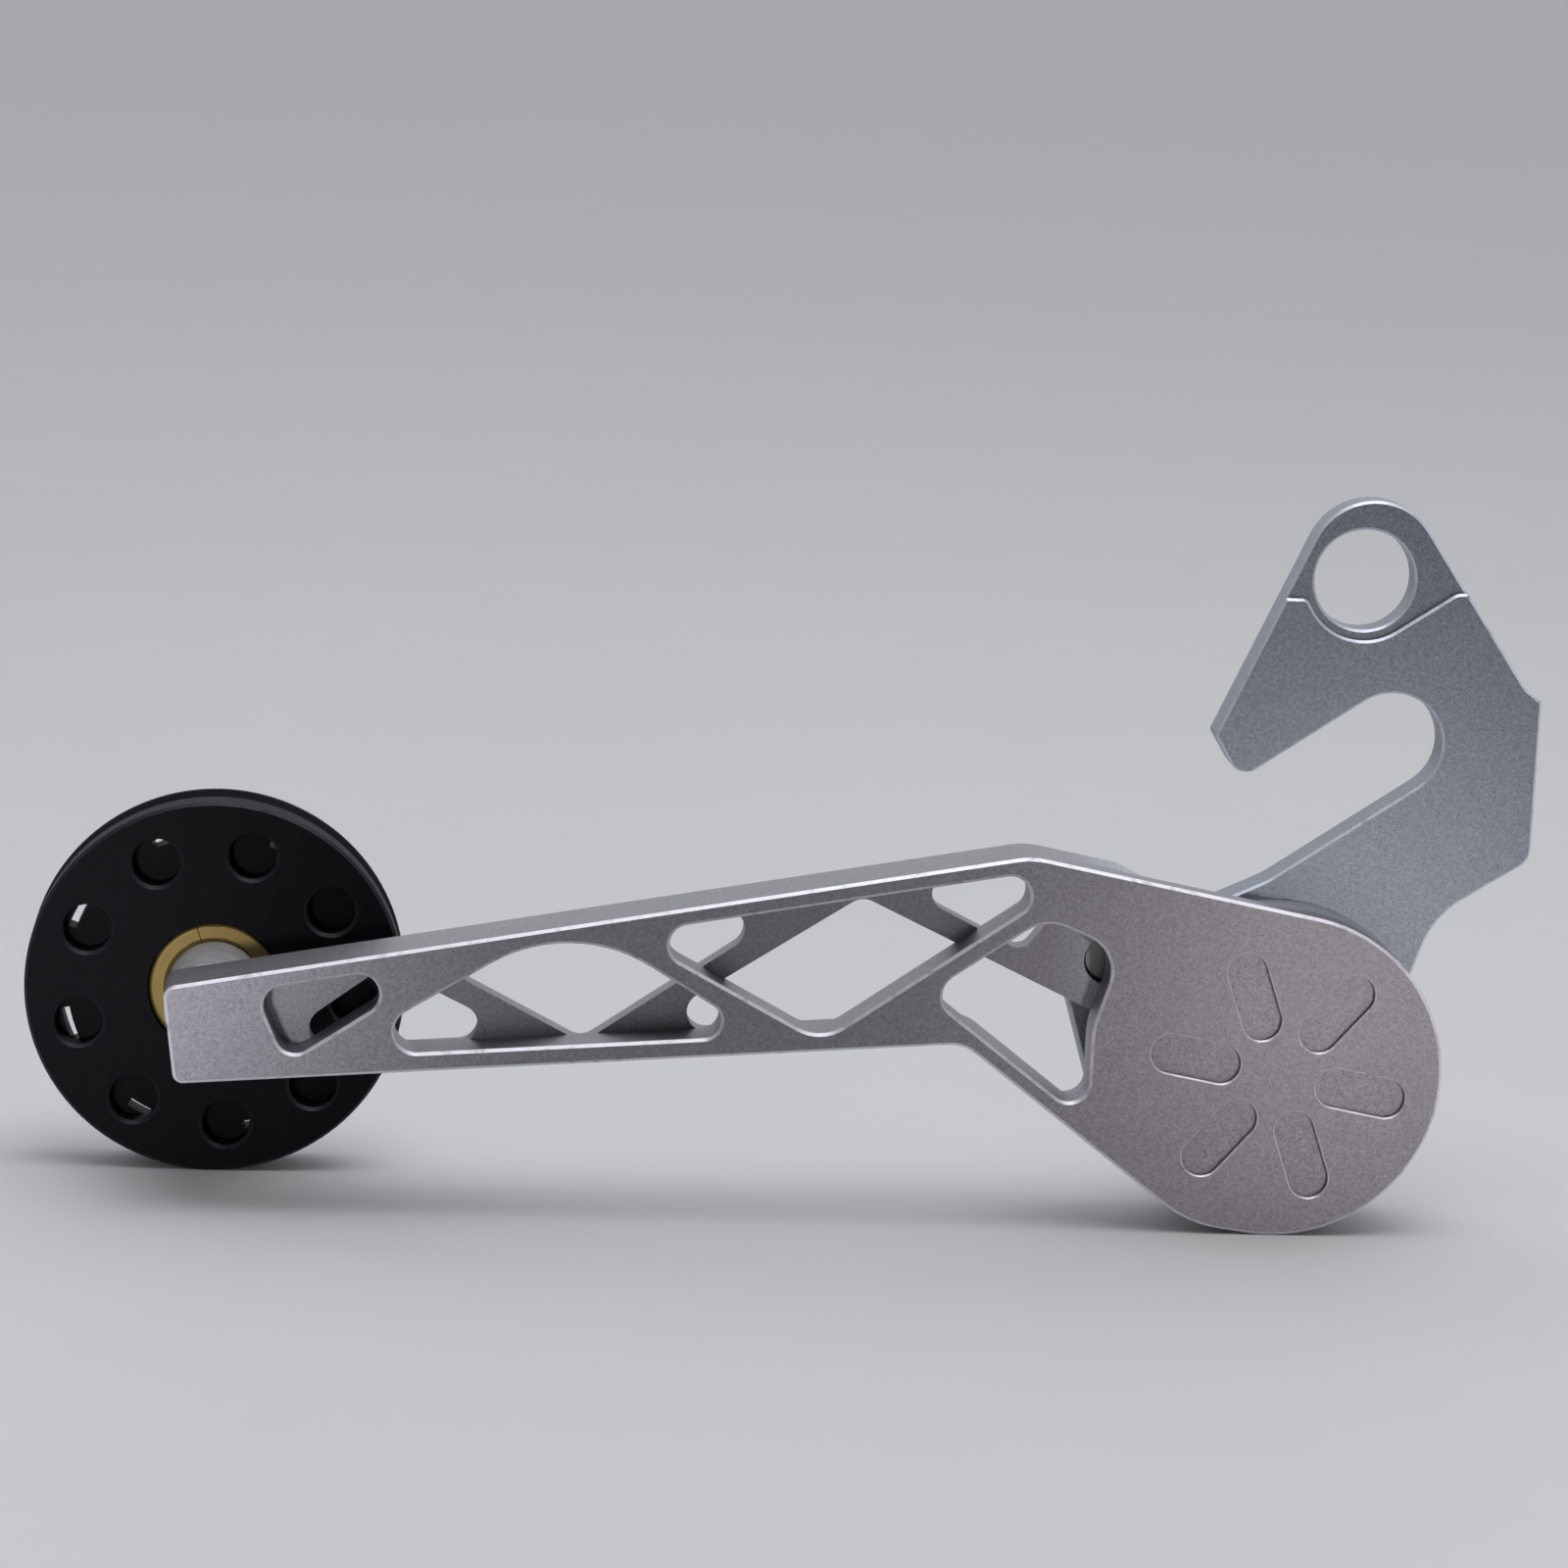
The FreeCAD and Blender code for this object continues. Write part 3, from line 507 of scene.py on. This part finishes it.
class TENSIONER_OT_stage(Operator):
    """Build the floor, the room, the soft boxes and the camera."""
    bl_idname = "tensioner.stage"
    bl_label = "Stage"

    def execute(self, context):
        scene = context.scene
        stage = scene.tensioner_stage
        scene.view_settings.view_transform = "Standard"
        self.floor(scene, stage)
        self.room(scene, stage)
        for name, *how in LAMPS:
            self.soft_box(scene, name, getattr(stage, name + "_power"), *how)
        self.camera(scene, stage)
        return {"FINISHED"}

    def floor(self, scene, stage):
        """A square of pale paper, a little mottled."""
        half, mottle = stage.floor_size / 2, 0.015
        mesh = bpy.data.meshes.new("floor")
        mesh.from_pydata([(-half, -half, 0), (half, -half, 0), (half, half, 0), (-half, half, 0)],
                         [], [(0, 1, 2, 3)])
        floor = bpy.data.objects.new("floor", mesh)
        scene.collection.objects.link(floor)
        finish, tree, shader, place = new_finish("floor_paper", stage.floor_colour,
                                                 roughness=0.9, metallic=0.0)
        fibres = noise(tree, place, scale=60.0, detail=4.0, roughness=0.6)
        mottled = mix_colours(tree, fibres, shade(stage.floor_colour, 1.0 - mottle),
                              shade(stage.floor_colour, 1.0 + mottle))
        tree.links.new(mottled, shader.inputs["Base Color"])
        mesh.materials.append(finish)

    def room(self, scene, stage):
        """A room that is bright behind the device and dim in front, with a plain wall in view."""
        world = bpy.data.worlds.new("soft_room")
        scene.world = world
        world.use_nodes = True
        tree = world.node_tree
        light = tree.nodes["Background"]
        light.inputs["Color"].default_value = (*stage.room_colour, 1.0)
        toward = tree.nodes.new("ShaderNodeVectorMath")
        toward.operation = "DOT_PRODUCT"
        direction = tree.nodes.new("ShaderNodeTexCoord").outputs["Generated"]
        tree.links.new(direction, toward.inputs[0])
        toward.inputs[1].default_value = ROOM_BRIGHT_SIDE
        swell = ramp_between(tree, toward.outputs["Value"], low=-0.3, high=0.8)
        strength = math_node(tree, "MULTIPLY_ADD", swell, stage.room_back - stage.room_front,
                             stage.room_front)
        tree.links.new(strength, light.inputs["Strength"])
        seen = tree.nodes.new("ShaderNodeBackground")
        seen.inputs["Color"].default_value = (*stage.wall_colour, 1.0)
        choice = tree.nodes.new("ShaderNodeMixShader")
        in_view = tree.nodes.new("ShaderNodeLightPath").outputs["Is Camera Ray"]
        tree.links.new(in_view, choice.inputs["Fac"])
        tree.links.new(light.outputs["Background"], choice.inputs[1])
        tree.links.new(seen.outputs["Background"], choice.inputs[2])
        tree.links.new(choice.outputs["Shader"], tree.nodes["World Output"].inputs["Surface"])

    def soft_box(self, scene, name, power, tint, size, spread_deg, place, target):
        """An area lamp at its place, turned to its target."""
        lamp = bpy.data.lights.new(name, "AREA")
        lamp.shape = "RECTANGLE"
        lamp.size, lamp.size_y = size
        lamp.energy = power
        lamp.color = tint
        lamp.spread = math.radians(spread_deg)
        box = bpy.data.objects.new(name, lamp)
        scene.collection.objects.link(box)
        box.location = place
        toward = Vector(target) - Vector(place)
        box.rotation_euler = toward.to_track_quat("-Z", "Y").to_euler()

    def camera(self, scene, stage):
        """The photograph's camera."""
        camera = bpy.data.objects.new("camera", bpy.data.cameras.new("camera"))
        scene.collection.objects.link(camera)
        camera.data.lens = stage.lens
        camera.data.sensor_width = 36.0
        camera.data.clip_start = 0.05
        right, up = Vector(CAMERA_RIGHT), Vector(CAMERA_UP)
        turn = Matrix((right, up, right.cross(up))).transposed().to_4x4()
        camera.matrix_world = Matrix.Translation(CAMERA_PLACE) @ turn
        scene.camera = camera


PIECES = (TENSIONER_OT_arm, TENSIONER_OT_hanger, TENSIONER_OT_pulley, TENSIONER_OT_bushes,
          TENSIONER_OT_post, TENSIONER_OT_steel, TENSIONER_OT_screws, TENSIONER_OT_stage)


class TENSIONER_PT_panel(Panel):
    """Buttons and settings of the tensioner."""
    bl_label = "Chain Tensioner"
    bl_idname = "TENSIONER_PT_panel"
    bl_space_type = "VIEW_3D"
    bl_region_type = "UI"
    bl_category = "Tensioner"

    def draw(self, context):
        for owner in (context.scene.tensioner_finish, context.scene.tensioner_stage):
            for name in owner.__annotations__:
                self.layout.prop(owner, name)
        for piece in PIECES:
            self.layout.operator(piece.bl_idname)


CLASSES = (FinishSettings, StageSettings, *PIECES, TENSIONER_PT_panel)


def register():
    for item in CLASSES:
        bpy.utils.register_class(item)
    bpy.types.Scene.tensioner_finish = PointerProperty(type=FinishSettings)
    bpy.types.Scene.tensioner_stage = PointerProperty(type=StageSettings)


def unregister():
    del bpy.types.Scene.tensioner_stage
    del bpy.types.Scene.tensioner_finish
    for item in reversed(CLASSES):
        bpy.utils.unregister_class(item)


def main():
    """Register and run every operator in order."""
    register()
    for piece in PIECES:
        group, name = piece.bl_idname.split(".")
        getattr(getattr(bpy.ops, group), name)()


if __name__ == "__main__":
    main()
